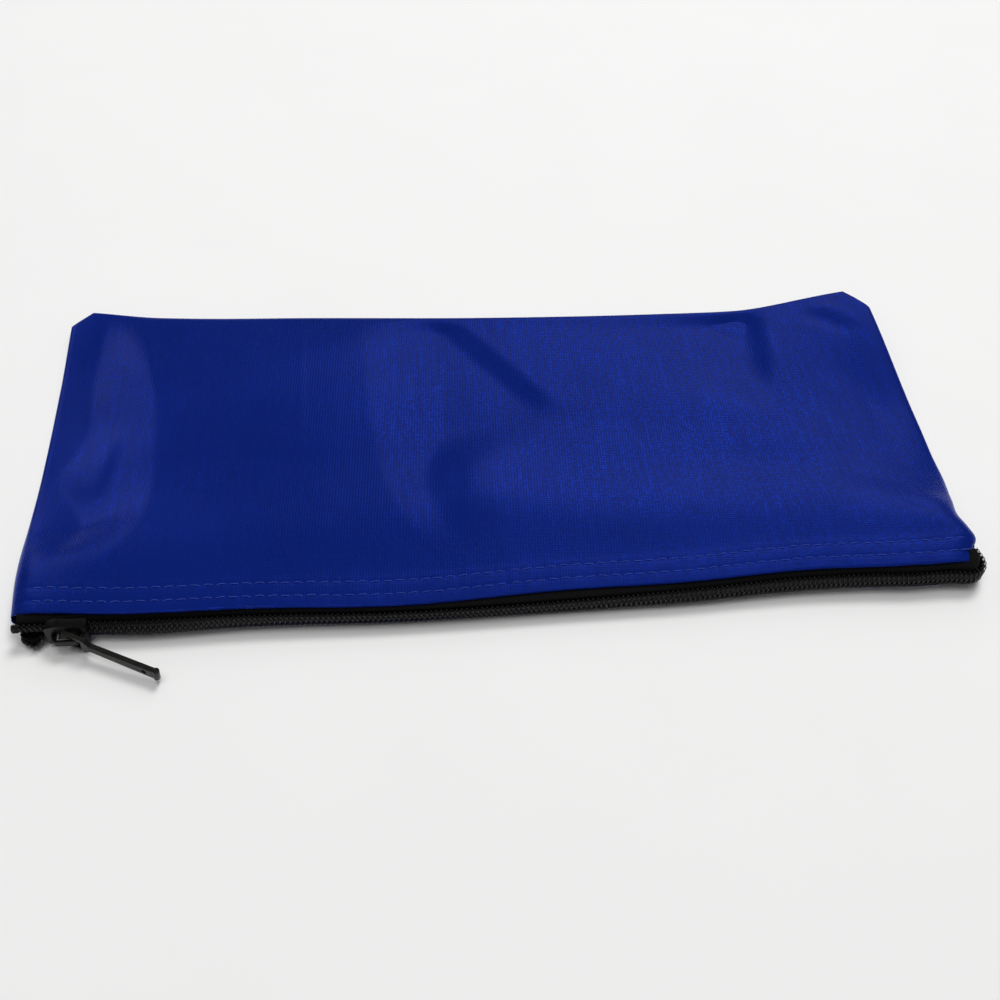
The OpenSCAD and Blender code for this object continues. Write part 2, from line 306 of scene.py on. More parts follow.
def rightward(x):
    """0 in the left part of the bag, 1 in the right part."""
    return smooth((x + 70) / 140)


def seam_z(x, y):
    """Height of the side and bottom seams. At the mouth the side seams climb, more so on the right."""
    right = rightward(x)
    mouth = smooth(mix((-4 - y) / 56, (-11 - y) / 49, right))
    return mix(SEAM_Z, mix(5.9, 7.7, right), mouth) + corner_lift(x, y)


# ---- Height of the upper cloth ----
def left_slope(x, y):
    """0 along the left side, 1 on the level middle: the slope between them has clear bends."""
    foot = curve([(-60, 6), (-44, 6), (-34, 12), (-27, 14), (-17, 10), (-5, 5), (3, 9.5), (11, 12),
                  (28, 11.5), (61, 13)], y)
    top = curve([(-60, 17), (-45, 22), (-34, 30), (-19, 34), (4, 34), (18, 33), (36, 30), (61, 26)], y)
    t = np.clip((x + 139 - foot) / (top - foot), 0, 1)
    return mix(t, smooth(t), 0.2)


def middle_trough(x, y):
    """The cloth rises towards a bend left of the middle, falls beyond it, and is level further right."""
    bend = curve([(-60, 0), (-52, -12), (-45, -21), (-24, -33), (0, -37), (54, -40)], y)
    width = curve([(-60, 8), (-45, 10), (-14, 13), (3, 21), (54, 24)], y)
    rise_w, rise_h, fall_slope = 62, 1.4, 0.12
    rise = np.clip((x - bend + rise_w) / rise_w, 0, 1) * rise_h
    down = np.clip(x - bend, 0, width) * fall_slope
    return rise - down


# Soft folds of a bag that has been stored flat. Each runs from one point to another; then come its width,
# its height, for a step the reach over which its rise dies away, and the fade at its ends.
STEPS = [
    ((18, 13), (-14, 60), 11, -2.1, 42, 0.2),  # long slanted fold down from the bottom seam
    ((-11, -5), (-11, -37), 23, 3.6, 17, 0.35),  # small fold in the middle
    ((93, 16), (97, 66), 12, -3.0, 34, 0.25),  # short fold near the far right corner
    ((-122, -16), (-117, 6), 7, 0.8, 10, 0.25),  # on the left slope
]
RIDGES = [
    ((124, -38), (138, -44), 2.0, -0.8, 0.25),  # behind the right end of the mouth
    ((127, -46), (140, -48), 2.6, 0.5, 0.3),
    ((114, 50), (127, 41), 3, -0.5, 0.3),  # at the far right corner
    ((119, 55), (133, 44), 3, 0.4, 0.3),
    ((118, 30), (133, 2), 6, -0.35, 0.3),  # along the right side
    ((-60, 50), (-60, -8), 0.5, 0.1, 0.1),  # faint line in the left part
    ((36, -48), (41, -38), 2.5, -0.4, 0.4),  # behind the hem
    ((66, 28), (108, -26), 12, 0.4, 0.3),  # broad swell on the right
]


def creases(x, y):
    """Height of all the folds together."""
    return sum(step(x, y, *fold) for fold in STEPS) + sum(ridge(x, y, *fold) for fold in RIDGES)


def ripple(x, y):
    """The slight unevenness of the whole cloth."""
    slow = 0.16 * np.sin(x / 11.3 + 0.8 * np.sin(y / 17)) * np.sin(y / 13.7 + 1.3)
    fine = 0.035 * np.sin(x / 3.9 + y / 6.1) * np.sin(y / 4.7 - x / 9.3)
    return slow + fine


def body_height(x, y, from_side, from_far):
    """Height of the cloth behind the hem."""
    rim = RIM_H * quarter_round(np.minimum(from_side, from_far) / RIM_W)
    far_reach = mix(46, 26, smooth((-100 - x) / 20))
    far = np.sin(np.pi / 2 * np.clip((from_far - 1) / far_reach, 0, 1)) ** 0.9
    right = 1 - (1 - np.clip((HALF_W - x) / RIGHT_REACH, 0, 1)) ** 2
    inner = smooth((from_side - 1) / 14)
    middle = MIDDLE_H * left_slope(x, y) * right + middle_trough(x, y) * inner
    near_side = (1 - smooth(from_side / 32)) * quarter_round(from_side / 9)
    lifted = SIDE_LIFT * smooth((-6 - y) / 46) * near_side
    uneven = (creases(x, y) + ripple(x, y)) * inner * smooth(from_far / 8)
    return seam_z(x, y) + rim + middle * far + lifted + uneven


def stitch_dents(x, from_hem):
    """How far the two stitch rows pull the hem down, with small puckers between the stitches."""
    turn = 2 * np.pi * x / STITCH_PITCH
    pucker = np.sin(turn) + 0.8 * np.sin(turn / 3.3)
    dents = 0
    for row in (FRONT_ROW, REAR_ROW):
        near = np.exp(-(((from_hem - row) / 0.55) ** 2))
        wide = np.exp(-(((from_hem - row) / 1.8) ** 2))
        dents = dents + 0.11 * near - 0.06 * wide * pucker
    return dents


def upper_top(x, y, from_hem, from_side, from_far):
    """Height of the upper cloth's outside."""
    corner = quarter_round(from_side / 8)
    crown = 0.12 * np.sin(np.pi * np.clip(from_hem / HEM_D, 0, 1))
    lip = mix(seam_z(x, y), hem_edge_z(x) + crown, corner)
    reach = mix(24, 20, rightward(x)) + 14 * smooth((from_side - 4) / 40)
    z = mix(lip, body_height(x, y, from_side, from_far), smooth((from_hem - HEM_D + 1) / reach))
    return z - stitch_dents(x, from_hem) * corner


def spread(span):
    """Distances from 0 to span: small steps at the edge, then even ones."""
    edge = np.cumsum([0] + EDGE_STEPS)
    count = max(2, round((span - edge[-1]) / POINT_GAP))
    return np.concatenate([edge, np.linspace(edge[-1], span, count + 1)[1:]])


def plan_grid(front_y):
    """Plan of a whole panel, from the left side seam to the right: x, y and the distances to its edges."""
    half = spread(HALF_W) / HALF_W / 2
    u = np.concatenate([half, (1 - half)[-2::-1]])
    hem_rows = np.arange(0, HEM_D + 2, 0.6)
    far_rows = (PLAN_D - spread(PLAN_D - hem_rows[-1]))[::-1]
    t = np.concatenate([hem_rows, far_rows[1:]]) / PLAN_D
    u, t = np.meshgrid(u, t, indexing="ij")
    left, right = left_edge_x(t), right_edge_x(t)
    x = mix(left, right, u)
    y = mix(front_y(x), far_edge_y(x), t)
    from_hem = y - front_y(x)
    return x, y, from_hem, np.minimum(x - left, right - x), far_edge_y(x) - y


def sheet_sections(top, thickness, nose_points=5):
    """Closed sections of a sheet from its outside, with a round fold at the front edge."""
    du, dt = np.gradient(top, axis=0), np.gradient(top, axis=1)
    normal = np.cross(du, dt)
    normal /= np.linalg.norm(normal, axis=2)[:, :, None]
    normal *= np.sign(normal[:, :, 2:3])
    inside = top - normal * thickness[:, :, None]
    angle = np.pi * (np.arange(nose_points) + 1) / (nose_points + 1)
    middle = (top[:, :1] + inside[:, :1]) / 2
    half = thickness[:, :1, None] / 2
    forward = np.array([0.0, -1.0, 0.0])
    arc = np.cos(angle)[None, :, None] * normal[:, :1] + np.sin(angle)[None, :, None] * forward
    return np.concatenate([top[:, ::-1], middle + half * arc, inside], axis=1)


def sheet_thickness(from_hem, from_side):
    """Thick at the hem, and one layer behind it and at the side seams."""
    hemmed = mix(HEM_T, CLOTH_T, smooth((from_hem - HEM_D) / 0.8))
    return mix(CLOTH_T, hemmed, smooth(from_side / 3))


def upper_sheet():
    """Sections of the whole upper cloth, from left to right."""
    x, y, from_hem, from_side, from_far = plan_grid(hem_edge_y)
    top = np.stack([x, y, upper_top(x, y, from_hem, from_side, from_far)], -1)
    return sheet_sections(top, sheet_thickness(from_hem, from_side))


def add_upper_halves(material):
    """The upper cloth in two halves that meet in the middle, where both take the same normals."""
    sections = upper_sheet()
    middle = len(sections) // 2
    along = sections[middle + 1] - sections[middle - 1]
    round_it = np.roll(sections[middle], -1, axis=0) - np.roll(sections[middle], 1, axis=0)
    normals = np.cross(along, round_it)
    normals /= np.linalg.norm(normals, axis=1)[:, None]
    on_top = len(normals) // 6
    normals *= np.sign(normals[on_top, 2])
    pieces = {}
    for word, part, at in (("left", sections[:middle + 1], middle), ("right", sections[middle:], 0)):
        piece = loft(f"upper_cloth_{word}", part, material)
        shared = np.zeros((part.shape[0], part.shape[1], 3))
        shared[at] = normals
        piece.data.normals_split_custom_set_from_vertices(shared.reshape(-1, 3).tolist())
        pieces[word] = piece
    return pieces


def lower_under(x, y, from_side, from_far):
    """Height of the lower cloth's underside, which lies on the table except at its lifted edges."""
    edge = seam_z(x, y) - 0.06
    flat = 0.03 + corner_lift(x, y) * 0.92
    reach = mix(RIM_W, 7.0, smooth((-4 - y) / 52))
    rise = 1 - quarter_round(np.minimum(from_side, from_far + 0.001) / reach)
    return mix(flat, edge - CLOTH_T, rise)


def lower_sheet():
    """Sections of the lower cloth, built up from its underside."""
    x, y, from_hem, from_side, from_far = plan_grid(low_edge_y)
    under = np.stack([x, y, lower_under(x, y, from_side, from_far)], -1)
    return sheet_sections(under, -sheet_thickness(from_hem, from_side))


# ---- The zipper's path ----
def chain_run(x, lower):
    """The chain's y, z and lean along the mouth. The lower coil's left end hangs loose in front."""
    y = CHAIN_Y + curve([(-140, 0), (-118, 0), (-108, -0.5), (-73, -0.2), (-32, -1.25), (17, -0.75),
                         (49, -0.4), (88, 1.1), (106, 0.7), (117, 0.05), (131, 0), (135, -0.4)], x)
    z = ZIP_Z + curve([(-140, 0.3), (-130, 0), (-118, 0), (-108, -0.15), (-73, -0.8), (-32, -1.6),
                       (17, -1.7), (49, -1.1), (88, -0.4), (114, 0), (131, 0), (135, -0.2)], x)
    lean = curve([(-140, 0), (-118, 2), (-106, 8), (-73, -7), (-32, -15), (17, -12), (49, 3),
                  (88, 4), (108, 1), (116, 0), (135, 0)], x)
    if lower:
        loose = smooth((-128.5 - x) / 5)
        y = y - 3.4 * loose + 4.0 * smooth((-133 - x) / 7)
        z = z - 3.2 * loose
        lean = lean - 60 * loose
    return y, z, np.radians(lean)


def chain_frame(s, lower=False):
    """Centre of the chain and its width and outward directions, at distances s from its left end."""
    s = np.asarray(s, float)
    x = np.minimum(LEFT_END + s, TURN_X)
    y, z, lean = chain_run(x, lower)
    turn = np.clip((s - STRAIGHT) / TURN_R, 0, TURN_ANGLE)
    past = np.clip(s - STRAIGHT - TURN_R * TURN_ANGLE, 0, None)
    level = 0 * turn
    out = np.stack([np.sin(turn), -np.cos(turn), level], -1)
    ahead = np.stack([np.cos(turn), np.sin(turn), level], -1)
    round_turn = TURN_R * np.stack([np.sin(turn), 1 - np.cos(turn), level], -1)
    centre = np.stack([x, y, z], -1) + round_turn + past[:, None] * ahead
    up = np.array([0.0, 0.0, 1.0])
    width = np.cos(lean)[:, None] * up - np.sin(lean)[:, None] * out
    outward = np.cos(lean)[:, None] * out + np.sin(lean)[:, None] * up
    return centre, width, outward


def on_chain(s, along_width, outward, lower=False):
    """Points beside the chain's middle line, at distances s along it."""
    centre, width, out = chain_frame(s, lower)
    return centre + np.asarray(along_width)[..., None] * width + np.asarray(outward)[..., None] * out


def coil_path(start, end, lower, per_turn=18):
    """One wound coil. Its loops reach a little past the middle, where they hook into the other coil's."""
    turns = round((end - start) / PITCH)
    phase = np.linspace(0, 2 * np.pi * turns, turns * per_turn + 1) + (np.pi if lower else 0)
    s = start + PITCH * np.arange(turns * per_turn + 1) / per_turn
    reach = (LOOP_OUT + LOOP_IN) / 2 + (LOOP_OUT - LOOP_IN) / 2 * np.cos(phase)
    side = -1 if lower else 1
    return on_chain(s, side * reach, LOOP_HALF_T * np.sin(phase) * (1 + 0.12 * np.cos(2 * phase)), lower)


def core_cord(start, end, lower, sealed):
    """Sections of the flat cord that fills a coil. A sealed left tip is a bead melted over the end."""
    s = np.linspace(start, end, 8 + int((end - start) / 1.2))
    half_w, half_t = np.full(len(s), CORE_W), np.full(len(s), CORE_T)
    if sealed:
        tip = start + np.array([-0.7, -0.62, -0.3, 0.15, 0.6, 0.85])
        s = np.concatenate([tip, s[s > tip[-1]]])
        plain = len(s) - len(tip)
        half_w = np.concatenate([[0.7, 1.25, 1.5, 1.5, 1.3, 0.9], np.full(plain, CORE_W)])
        half_t = np.concatenate([[0.5, 0.95, 1.12, 1.12, 0.95, 0.5], np.full(plain, CORE_T)])
    side = -1 if lower else 1
    rings = []
    for angle in 2 * np.pi * np.arange(12) / 12:
        off = side * (CORE_OFF + half_w * math.cos(angle))
        rings.append(on_chain(s, off, half_t * math.sin(angle), lower))
    return np.stack(rings, axis=1)


def coil_threads(start, end, lower):
    """Two threads that cross every loop on the outside of the coil and dip between them."""
    count = round((end - start) / PITCH) * 4
    s = start + (end - start) * np.arange(count + 1) / count
    dip = THREAD_DIP * (1 - np.cos(2 * np.pi * (s - start) / PITCH)) / 2
    out = LOOP_HALF_T + WIRE_R + 0.1 - dip
    side = -1 if lower else 1
    return [on_chain(s, np.full(len(s), side * w), out, lower) for w in THREAD_OFFS]


def tape_section(s, root, lip, lower):
    """Section of a tape: from inside the hem, forward to the lip, then down behind the coil."""
    side = -1 if lower else 1
    centre, width, out = (v[0] for v in chain_frame(np.array([s]), lower))
    back = centre - out * TAPE_BACK
    level_with_lip = abs((lip - back)[2] / max(0.2, width[2]))
    knee = back + side * width * max(COIL_TOP - 0.15, level_with_lip)
    foot = back + side * width * 1.7
    end = back + side * width * 0.4
    t = np.linspace(0, 1, 9)[:, None]
    bend = (1 - t) ** 2 * lip + 2 * t * (1 - t) * knee + t**2 * foot
    line = np.concatenate([[root, (root + lip) / 2], bend, [end]])
    ahead = np.gradient(line, axis=0)
    ahead /= np.linalg.norm(ahead, axis=1)[:, None]
    across_it = np.cross(ahead, np.cross(width, out))
    across_it /= np.linalg.norm(across_it, axis=1)[:, None]
    return np.concatenate([line + across_it * TAPE_T / 2, (line - across_it * TAPE_T / 2)[::-1]])


def tape_lip(x, out, chain_y, lower):
    """Where a tape comes out of its hem, and how far the chain has turned there, from 0 to 1 and more."""
    turned = 1 + out[1]
    lip_x = x + (TAPE_END_X - TURN_X) * out[0]
    if lower:
        lip_y = max(low_edge_y(x) + 1.2, chain_y + 2.6)
        lip_z = 1.75 + 0.7 * turned
    else:
        lip_y = hem_edge_y(x) + 0.5
        lip_z = hem_edge_z(x) - HEM_T - TAPE_T / 2 - 0.05
    return np.array([lip_x, lip_y + TAPE_TUCK * turned, lip_z]), turned


def tape_sections(start, end, lower):
    """Sections of a tape, closer together round the turn."""
    turn_start = min(end, STRAIGHT)
    stations = [np.arange(start, turn_start, 2.0), np.arange(turn_start, end, 0.8), [end]]
    sections = []
    for s in np.concatenate(stations):
        centre, _, out = (v[0] for v in chain_frame(np.array([s])))
        x = float(np.clip(LEFT_END + s, TAPE_START_X, TURN_X))
        lip, turned = tape_lip(x, out, centre[1], lower)
        inward = np.array([-out[0], -out[1], 0.0]) / math.hypot(out[0], out[1])
        root = lip + inward * mix(TAPE_INSIDE, TAPE_INSIDE_TURNED, min(1, turned))
        sections.append(tape_section(s, root, lip, lower))
    return sections


# ---- Stitches and seams ----
def stitch_row(start, end, point_at):
    """Separate stitches along x. Each lies on the cloth and dives into it at both ends."""
    paths = []
    t = np.linspace(0, 1, 7)
    rise = STITCH_LIFT + np.array([-0.34, -0.02, 0.04, 0.06, 0.04, -0.02, -0.34])
    for k in range(int((end - start) / STITCH_PITCH)):
        x = start + k * STITCH_PITCH + t * STITCH_L
        paths.append(point_at(x, rise))
    return paths


def hem_point(row):
    """Points on the upper hem, along a row that wavers a little."""
    def at(x, rise):
        y = hem_edge_y(x) + row + 0.12 * np.sin(x * 1.3)
        side = np.minimum(x + 139, 139.4 - x)
        z = upper_top(x, y, y - hem_edge_y(x), side, far_edge_y(x) - y)
        return np.stack([x, y, z + rise], -1)
    return at


def low_point(row):
    """Points on the lower hem, which is flat."""
    def at(x, rise):
        y = low_edge_y(x) + row
        return np.stack([x, y, 0 * x + 0.03 + HEM_T + rise], -1)
    return at


def seam_path(word):
    """A seam's thread, a little inside the edge, between the two cloths."""
    if word == "bottom":
        x = np.linspace(-127, 126, 120)
        y = far_edge_y(x) - SEAM_INSET
    else:
        t = np.linspace(0.14, 0.92, 70)
        x = left_edge_x(t) + SEAM_INSET if word == "left" else right_edge_x(t) - SEAM_INSET
        y = mix(hem_edge_y(x), far_edge_y(x), t)
    wave = 0.06 * np.sin(2 * np.pi * np.arange(len(x)) / 4)
    return np.stack([x, y, corner_lift(x, y) + SEAM_Z - 0.05 + wave], -1)


# ---- Short ways to add a material's nodes ----
def new_material(name):
    """A material with its node tree and its shader."""
    material = bpy.data.materials.new(name)
    material.use_nodes = True
    tree = material.node_tree
    return material, tree, tree.nodes["Principled BSDF"]


def object_place(tree, scale=(1, 1, 1), turn=0.0):
    """Object coordinates in millimetres, scaled and turned about Z."""
    place = tree.nodes.new("ShaderNodeTexCoord")
    mapping = tree.nodes.new("ShaderNodeMapping")
    mapping.inputs["Scale"].default_value = [v / MM for v in scale]
    mapping.inputs["Rotation"].default_value = (0, 0, turn)
    tree.links.new(place.outputs["Object"], mapping.inputs["Vector"])
    return mapping.outputs["Vector"]


def noise(tree, place, scale, detail=2.0):
    texture = tree.nodes.new("ShaderNodeTexNoise")
    texture.inputs["Scale"].default_value = scale
    texture.inputs["Detail"].default_value = detail
    tree.links.new(place, texture.inputs["Vector"])
    return texture.outputs["Fac"]


def stripes(tree, place, direction, pitch):
    """Threads side by side: a sine wave across the direction. The node has a wave every 2 pi / 20 units."""
    wave = tree.nodes.new("ShaderNodeTexWave")
    wave.bands_direction = direction
    wave.inputs["Scale"].default_value = 2 * math.pi / (20 * pitch)
    tree.links.new(place, wave.inputs["Vector"])
    return wave.outputs["Fac"]


def maths(tree, operation, a, b):
    node = tree.nodes.new("ShaderNodeMath")
    node.operation = operation
    for socket, value in zip(node.inputs, (a, b)):
        if isinstance(value, (int, float)):
            socket.default_value = value
        else:
            tree.links.new(value, socket)
    return node.outputs[0]


def times(tree, a, b):
    return maths(tree, "MULTIPLY", a, b)


def plus(tree, a, b):
    return maths(tree, "ADD", a, b)


def ramp(tree, factor, stops):
    """A colour that runs through the stops as the factor rises."""
    node = tree.nodes.new("ShaderNodeValToRGB")
    elements = node.color_ramp.elements
    for element, (position, colour) in zip(elements, stops):
        element.position = position
        element.color = (*colour, 1)
    tree.links.new(factor, node.inputs["Fac"])
    return node.outputs["Color"]


def bump(tree, shader, height, distance, strength=1.0):
    node = tree.nodes.new("ShaderNodeBump")
    node.inputs["Distance"].default_value = distance * MM
    node.inputs["Strength"].default_value = strength
    tree.links.new(height, node.inputs["Height"])
    tree.links.new(node.outputs["Normal"], shader.inputs["Normal"])


# ---- Materials ----
def crown_sheen(tree, weave, slubs, streaks):
    """How much each place mirrors: most on the thread crowns, and uneven from thread to thread."""
    crowns = times(tree, weave, 0.8)
    for part, share in ((slubs, 1.8), (streaks, 0.7)):
        crowns = plus(tree, crowns, times(tree, part, share))
    crown = tree.nodes.new("ShaderNodeMapRange")
    crown.inputs["From Min"].default_value = 1.25
    crown.inputs["From Max"].default_value = 1.8
    crown.inputs["To Max"].default_value = SHEEN
    tree.links.new(crowns, crown.inputs["Value"])
    return crown.outputs["Result"]


def dyed_colour(tree, patches, sheen):
    """The dye's blue. It is brighter where the thread mirrors, so that its diffuse part stays as it is."""
    dyed = ramp(tree, patches, [(0.35, NYLON_DARK), (0.65, NYLON_LIGHT)])
    brighter = maths(tree, "DIVIDE", 1.0, maths(tree, "SUBTRACT", 1.0, sheen))
    scaled = tree.nodes.new("ShaderNodeVectorMath")
    scaled.operation = "SCALE"
    tree.links.new(dyed, scaled.inputs[0])
    tree.links.new(brighter, scaled.inputs["Scale"])
    return scaled.outputs[0]


def nylon_material():
    """Woven nylon with a thin coating. The crowns of its threads have a sheen in the dye's own blue."""
    material, tree, shader = new_material("blue_nylon")
    plain = object_place(tree)
    turned = object_place(tree, turn=math.radians(4))
    weave = times(tree, stripes(tree, turned, "X", 0.86), stripes(tree, turned, "Y", 0.78))
    slubs = noise(tree, plain, 1.15, 2)
    streaks = noise(tree, object_place(tree, (0.8, 0.06, 0.1), math.radians(-8)), 1.0, 2)
    patches = noise(tree, plain, 0.022, 3)
    sheen = crown_sheen(tree, weave, slubs, streaks)
    roughness = plus(tree, times(tree, slubs, 0.12), 0.17)
    tree.links.new(sheen, shader.inputs["Metallic"])
    tree.links.new(dyed_colour(tree, patches, sheen), shader.inputs["Base Color"])
    tree.links.new(roughness, shader.inputs["Roughness"])
    shader.inputs["Specular IOR Level"].default_value = 0.11
    shader.inputs["Specular Tint"].default_value = (0.62, 0.68, 1.0, 1.0)
    bump(tree, shader, plus(tree, weave, times(tree, slubs, 1.2)), 0.03)
    return material


def tape_material():
    """Dull black tape with fine woven ribs and a little fuzz."""
    material, tree, shader = new_material("black_woven_tape")
    plain = object_place(tree)
    ribs = times(tree, stripes(tree, plain, "X", 0.55), stripes(tree, plain, "DIAGONAL", 0.8))
    height = plus(tree, ribs, times(tree, noise(tree, plain, 2.6, 3), 0.8))
    colour = ramp(tree, height, [(0.1, (0.0014, 0.0014, 0.0017)), (1.0, (0.0062, 0.0063, 0.0072))])
    tree.links.new(colour, shader.inputs["Base Color"])
    shader.inputs["Roughness"].default_value = 0.8
    shader.inputs["Sheen Weight"].default_value = 0.02
    shader.inputs["Specular IOR Level"].default_value = 0.2
    bump(tree, shader, height, 0.12)
    return material


def coil_material():
    """Smooth black polyester wire."""
    material, tree, shader = new_material("black_polyester_coil")
    mottle = noise(tree, object_place(tree), 0.9, 2)
    colour = ramp(tree, mottle, [(0.3, (0.0018, 0.0018, 0.0022)), (0.8, (0.0042, 0.0042, 0.0050))])
    tree.links.new(colour, shader.inputs["Base Color"])
    tree.links.new(plus(tree, times(tree, mottle, 0.1), 0.07), shader.inputs["Roughness"])
    return material


def thread_material(name, dark, light, roughness):
    """Thread with the fine slanted lines of its twist."""
    material, tree, shader = new_material(name)
    twist = stripes(tree, object_place(tree), "DIAGONAL", 0.35)
    tree.links.new(ramp(tree, twist, [(0.1, dark), (0.9, light)]), shader.inputs["Base Color"])
    shader.inputs["Roughness"].default_value = roughness
    bump(tree, shader, twist, 0.05)
    return material


def metal_material(name, dark, light, roughness):
    """Dark plated die-cast metal: a fine grain, and slow changes of tone."""
    material, tree, shader = new_material(name)
    plain = object_place(tree)
    grain = noise(tree, plain, 3.2, 4)
    cloudy = noise(tree, plain, 0.35, 3)
    tone = plus(tree, times(tree, grain, 0.5), times(tree, cloudy, 0.5))
    tree.links.new(ramp(tree, tone, [(0.35, dark), (0.7, light)]), shader.inputs["Base Color"])
    tree.links.new(plus(tree, times(tree, grain, 0.25), roughness), shader.inputs["Roughness"])
    shader.inputs["Metallic"].default_value = 0.4
    shader.inputs["Specular IOR Level"].default_value = 0.35
    bump(tree, shader, grain, 0.02, 0.6)
    return material


# ---- Camera, lights and table ----
def add_camera():
    """Stands in front of the mouth and looks down, turned a little to the right and rolled."""
    azimuth, down, roll = math.radians(8.09), math.radians(51.36), math.radians(3.42)
    eye = Vector((-33.8, -262.2, 303.7)) * MM
    level = Vector((math.sin(azimuth), math.cos(azimuth), 0))
    view = level * math.cos(down) - Vector((0, 0, math.sin(down)))
    right = Vector((math.cos(azimuth), -math.sin(azimuth), 0))
    up = right.cross(view)
    right_rolled = right * math.cos(roll) + up * math.sin(roll)
    up_rolled = up * math.cos(roll) - right * math.sin(roll)
    data = bpy.data.cameras.new("camera")
    data.lens = 1.257 * data.sensor_width
    data.clip_start, data.clip_end = 0.01, 20
    camera = bpy.data.objects.new("camera", data)
    turn = Matrix((right_rolled, up_rolled, -view)).transposed().to_4x4()
    camera.matrix_world = Matrix.Translation(eye) @ turn
    bpy.context.scene.collection.objects.link(camera)
    bpy.context.scene.camera = camera


def add_softbox(name, place, size, power, mirrored=True):
    """An oval lamp that faces the bag. One that isn't mirrored lights the bag without a highlight."""
    data = bpy.data.lights.new(name, "AREA")
    data.shape = "ELLIPSE"
    data.size, data.size_y = size
    data.energy = power
    lamp = bpy.data.objects.new(name, data)
    lamp.location = place
    lamp.rotation_euler = (-Vector(place)).to_track_quat("-Z", "Y").to_euler()
    lamp.visible_glossy = mirrored
    bpy.context.scene.collection.objects.link(lamp)


def add_world(seen, ambient, mirrored):
    """Pale behind the table, a dimmer even light on the object, and a dark room in its reflections."""
    world = bpy.data.worlds.new("studio")
    world.use_nodes = True
    tree = world.node_tree
    rays = tree.nodes.new("ShaderNodeLightPath").outputs
    amount = times(tree, rays["Is Camera Ray"], seen)
    for kind, strength in (("Is Diffuse Ray", ambient), ("Is Glossy Ray", mirrored)):
        amount = plus(tree, amount, times(tree, rays[kind], strength))
    background = tree.nodes["Background"]
    tree.links.new(amount, background.inputs["Strength"])
    background.inputs["Color"].default_value = (1, 1, 1, 1)
    bpy.context.scene.world = world


def add_table():
    """A plain pale floor, just under the bag."""
    material, tree, shader = new_material("pale_table")
    speck = noise(tree, object_place(tree), 0.02, 2)
    colour = ramp(tree, speck, [(0.3, (0.832, 0.832, 0.828)), (0.7, (0.842, 0.842, 0.838))])
    tree.links.new(colour, shader.inputs["Base Color"])
    shader.inputs["Roughness"].default_value = 0.75
    shader.inputs["Specular IOR Level"].default_value = 0.1
    half, under = 3000, -0.02
    corners = [(-half, -half, under), (half, -half, under), (half, half, under), (-half, half, under)]
    make_mesh("table_top", corners, [(0, 1, 2, 3)], material, False)


add_camera()
add_world(0.888, 0.12, 0.03)
add_softbox("key", (0.40, 0.75, 1.85), (0.8, 0.8), 21.5, mirrored=False)
add_softbox("ceiling", (-0.2, -0.3, 2.1), (1.5, 1.5), 17.5, mirrored=False)
add_softbox("strip", (-0.25, -0.1, 2.1), (0.25, 0.7), 2.4)
add_softbox("window", (0.64, 1.44, 1.18), (1.6, 1.42), 4.5)
add_softbox("left_panel", (-0.97, 1.40, 1.00), (0.74, 1.15), 2.0)
add_table()
bpy.context.scene.view_settings.view_transform = "Standard"

# ---- Finishes of the pieces ----
nylon = nylon_material()
tape_black = tape_material()
coil_black = coil_material()
cord_black = thread_material("core_cord_black", (0.004, 0.004, 0.005), (0.014, 0.014, 0.016), 0.75)
thread_black = thread_material("coil_thread_black", (0.003, 0.003, 0.004), (0.013, 0.013, 0.015), 0.5)
thread_blue = thread_material("blue_thread", (0.013, 0.036, 0.29), (0.042, 0.078, 0.45), 0.5)
# The slider is the same gunmetal as the pull, made darker: painted shade on the slider body and its crown.
slider_metal_painted_shade = metal_material("slider_gunmetal_painted_shade", (0.0022, 0.0022, 0.0027), (0.0075, 0.0075, 0.0085), 0.28)
pull_metal = metal_material("pull_gunmetal", (0.009, 0.009, 0.009), (0.028, 0.027, 0.025), 0.22)
spring_metal = metal_material("spring_steel_finish", (0.20, 0.20, 0.21), (0.36, 0.36, 0.37), 0.25)

# ---- How pieces join the bodies ----
HALVES = (("left", -1), ("right", 1))


def finish_lower(piece, node):
    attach(piece, "lower_side")
    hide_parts(node)


def finish_upper(piece, node):
    """Bakes the piece's place into its mesh, and hides the CAD node that it stands for."""
    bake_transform(piece)
    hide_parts(node)


def rounded_casting(node, body, material, radius):
    """The node's own shape with the slightly rounded edges of a die casting."""
    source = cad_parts[node]
    piece = bpy.data.objects.new(f"{node}_casting", source.data.copy())
    bpy.context.scene.collection.objects.link(piece)
    piece.matrix_world = source.matrix_world.copy()
    shape = bmesh.new()
    shape.from_mesh(piece.data)
    bmesh.ops.remove_doubles(shape, verts=shape.verts, dist=0.002 * MM)
    bmesh.ops.dissolve_limit(shape, angle_limit=math.radians(2), verts=shape.verts, edges=shape.edges)
    shape.to_mesh(piece.data)
    shape.free()
    piece.data.materials.clear()
    piece.data.materials.append(material)
    piece.data.polygons.foreach_set("use_smooth", [True] * len(piece.data.polygons))
    bevel = piece.modifiers.new("rounded", "BEVEL")
    bevel.width = radius * MM
    bevel.segments = 3
    bevel.limit_method = "ANGLE"
    bevel.angle_limit = math.radians(28)
    bevel.harden_normals = True
    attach(piece, body)
    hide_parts(node)


# ---- The cloth ----
lower_cloth = loft("lower_cloth", lower_sheet(), nylon)
finish_lower(lower_cloth, "lower_panel")
upper_halves = add_upper_halves(nylon)
for word, side in HALVES:
    cloth = upper_halves[word]
    finish_upper(cloth, "upper_panel")

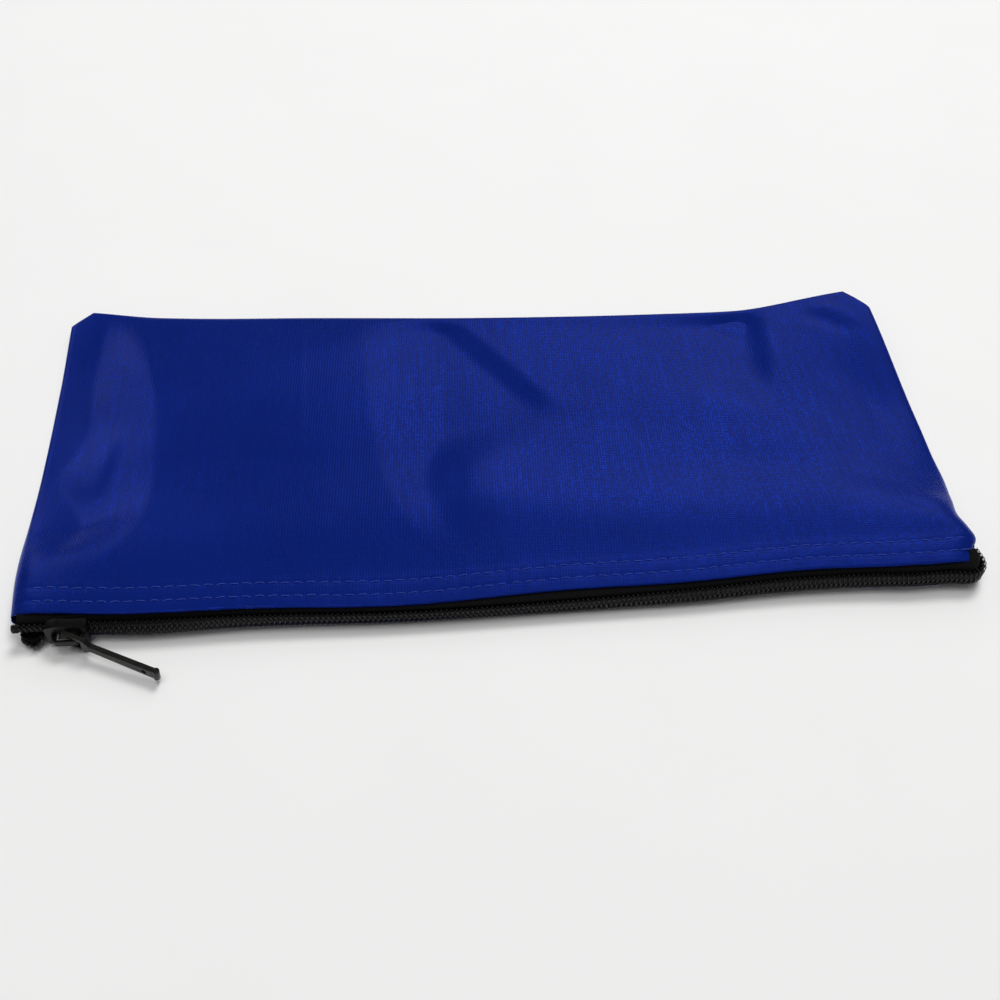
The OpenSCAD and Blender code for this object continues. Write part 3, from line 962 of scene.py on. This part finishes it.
# ---- The upper half of the zipper, cut in the middle between two loops of its coil ----
UPPER_START = -0.55
TAPE_CUT = -LEFT_END
COIL_CUT = UPPER_START + round((TAPE_CUT - UPPER_START) / PITCH) * PITCH
TAPE_SPANS = {"left": (0.0, TAPE_CUT), "right": (TAPE_CUT, CHAIN_L - 2)}
COIL_SPANS = {"left": (UPPER_START, COIL_CUT), "right": (COIL_CUT, CHAIN_L)}
for word, side in HALVES:
    start, end = COIL_SPANS[word]
    coil = tubes(f"upper_coil_{word}", [coil_path(start, end, False)], WIRE_R, 7, coil_black)
    finish_upper(coil, "upper_coil")
    threads = coil_threads(max(start, 0), end, False)
    sewn = tubes(f"upper_coil_stitching_{word}", threads, COIL_THREAD_R, 5, thread_black)
    finish_upper(sewn, "upper_coil_stitching")
    core = loft(f"upper_core_cord_{word}", core_cord(start, end, False, word == "left"), cord_black)
    finish_upper(core, "upper_core_cord")
    tape = loft(f"upper_tape_{word}", tape_sections(*TAPE_SPANS[word], False), tape_black)
    finish_upper(tape, "upper_tape")

# ---- The lower half of the zipper, in one piece ----
coil = tubes("lower_coil_turns", [coil_path(PITCH / 2, CHAIN_L, True)], WIRE_R, 7, coil_black)
finish_lower(coil, "lower_coil")
sewn = tubes("lower_coil_threads", coil_threads(8.0, CHAIN_L, True), COIL_THREAD_R, 5, thread_black)
finish_lower(sewn, "lower_coil_stitching")
core = loft("lower_core_cord_run", core_cord(1, CHAIN_L, True, True), cord_black)
finish_lower(core, "lower_core_cord")
tape = loft("lower_tape_run", tape_sections(0.2, CHAIN_L - 2, True), tape_black)
finish_lower(tape, "lower_tape")

# ---- Stitch rows and seams ----
UPPER_ROWS = {"left": (-137.6, 0), "right": (0, 138.2)}
LOWER_ROW = (-128, 126)
for row_name, row in (("front", FRONT_ROW), ("rear", REAR_ROW)):
    for word, side in HALVES:
        paths = stitch_row(*UPPER_ROWS[word], hem_point(row))
        stitches = tubes(f"upper_{row_name}_stitches_{word}", paths, THREAD_R, 6, thread_blue)
        finish_upper(stitches, f"upper_{row_name}_topstitch")
    paths = stitch_row(*LOWER_ROW, low_point(row))
    stitches = tubes(f"lower_{row_name}_stitches", paths, THREAD_R, 6, thread_blue)
    finish_lower(stitches, f"lower_{row_name}_topstitch")
for word, node in (("left", "left_side_seam"), ("right", "right_side_seam"), ("bottom", "bottom_seam")):
    seam = tubes(f"{word}_seam_thread", [seam_path(word)], SEAM_THREAD_R, 6, thread_blue)
    finish_lower(seam, node)

# ---- The slider and its pull ----
# The slider body and crown take the darker copy of the pull's metal, which is painted shade.
rounded_casting("slider_body", "slider", slider_metal_painted_shade, 0.22)
rounded_casting("slider_crown", "slider", slider_metal_painted_shade, 0.2)
rounded_casting("pull_tab", "pull", pull_metal, 0.16)
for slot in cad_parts["lock_spring"].material_slots:
    slot.material = spring_metal
